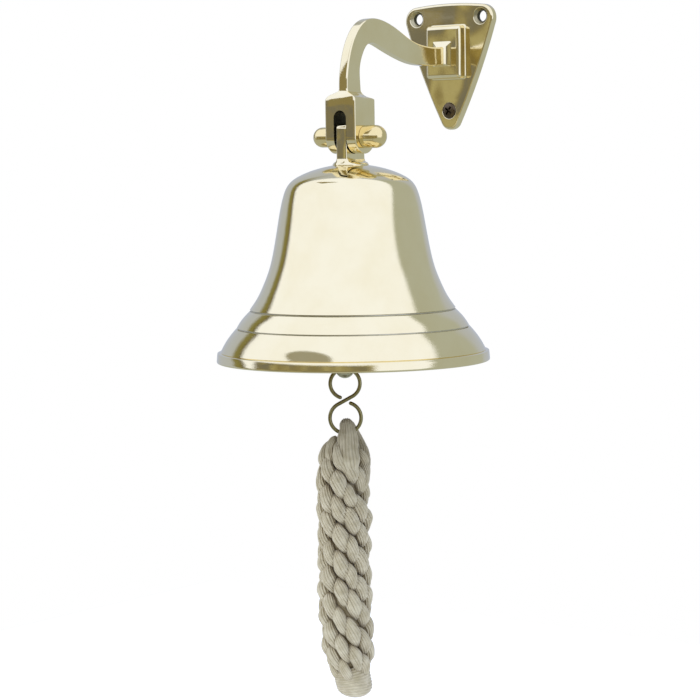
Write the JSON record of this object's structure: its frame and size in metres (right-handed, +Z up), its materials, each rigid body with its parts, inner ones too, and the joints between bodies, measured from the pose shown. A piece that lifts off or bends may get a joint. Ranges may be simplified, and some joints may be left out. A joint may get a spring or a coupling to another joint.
{
  "type": "ship bell",
  "caption": "Brass ship bell hung from a gooseneck wall bracket, with a swinging clapper, a wire S-hook and a plaited cotton lanyard.",
  "frame": {"origin": "on the wall plane, midway between the two upper screw holes of the wall plate", "axes": "+Z up, +Y into the wall, so the bell hangs at -Y, and +X along the wall to the right of someone facing it"},
  "size_m": [0.1516, 0.1823, 0.389],
  "materials": {
    "plate_brass": "polished, cast",
    "arm_brass": "polished, cast",
    "bolt_brass": "polished, turned",
    "bell_brass": "mirror polished and lacquered",
    "lug_brass": "polished",
    "inner_brass": "as machined, slightly dull",
    "clapper_brass": "turned",
    "wire_brass": "drawn wire, tarnished",
    "screw_steel": "dull, cross recess",
    "steel": "zinc plated",
    "cotton": "plaited cotton, undyed",
    "cotton_eye": "cotton, whipped loop"
  },
  "bodies": {
    "bracket": {"wall_plate": "plate_brass", "fixing_screw": "screw_steel", "arm_screw": "inner_brass", "bracket_arm": "arm_brass", "swing_bolt": "bolt_brass", "cap_nut": "bolt_brass"},
    "bell": {"bell_body": "bell_brass", "crown_lug": "lug_brass", "crown_washer": "inner_brass", "clapper_yoke": "inner_brass", "lock_washer": "steel", "yoke_nut": "inner_brass", "clapper_pin": "inner_brass", "cotter_pin": "steel"},
    "clapper": {"clapper_shank": "clapper_brass", "clapper_ball": "clapper_brass", "clapper_knob": "clapper_brass"},
    "hook": {"s_hook": "wire_brass"},
    "lanyard": {"rope_eye": "cotton_eye", "bell_rope": "cotton"}
  },
  "joints": [
    {"name": "bell_swing", "type": "hinge", "parent": "bracket", "child": "bell", "pos_m": [0, -0.098, -0.0685], "axis": [1, 0, 0], "range_deg": [-40, 9]},
    {"name": "clapper_swing", "type": "hinge", "parent": "bell", "child": "clapper", "pos_m": [-0.0061, -0.098, -0.1065], "axis": [1, 0, 0], "range_deg": [-33.8, 33.8]},
    {"name": "hook_swing", "type": "hinge", "parent": "clapper", "child": "hook", "pos_m": [-0.0061, -0.098, -0.19745], "axis": [0.788, 0.6157, 0], "range_deg": [-22, 22]},
    {"name": "lanyard_swing", "type": "hinge", "parent": "hook", "child": "lanyard", "pos_m": [-0.0061, -0.098, -0.23255], "axis": [0.788, 0.6157, 0], "range_deg": [-45, 45]}
  ]
}
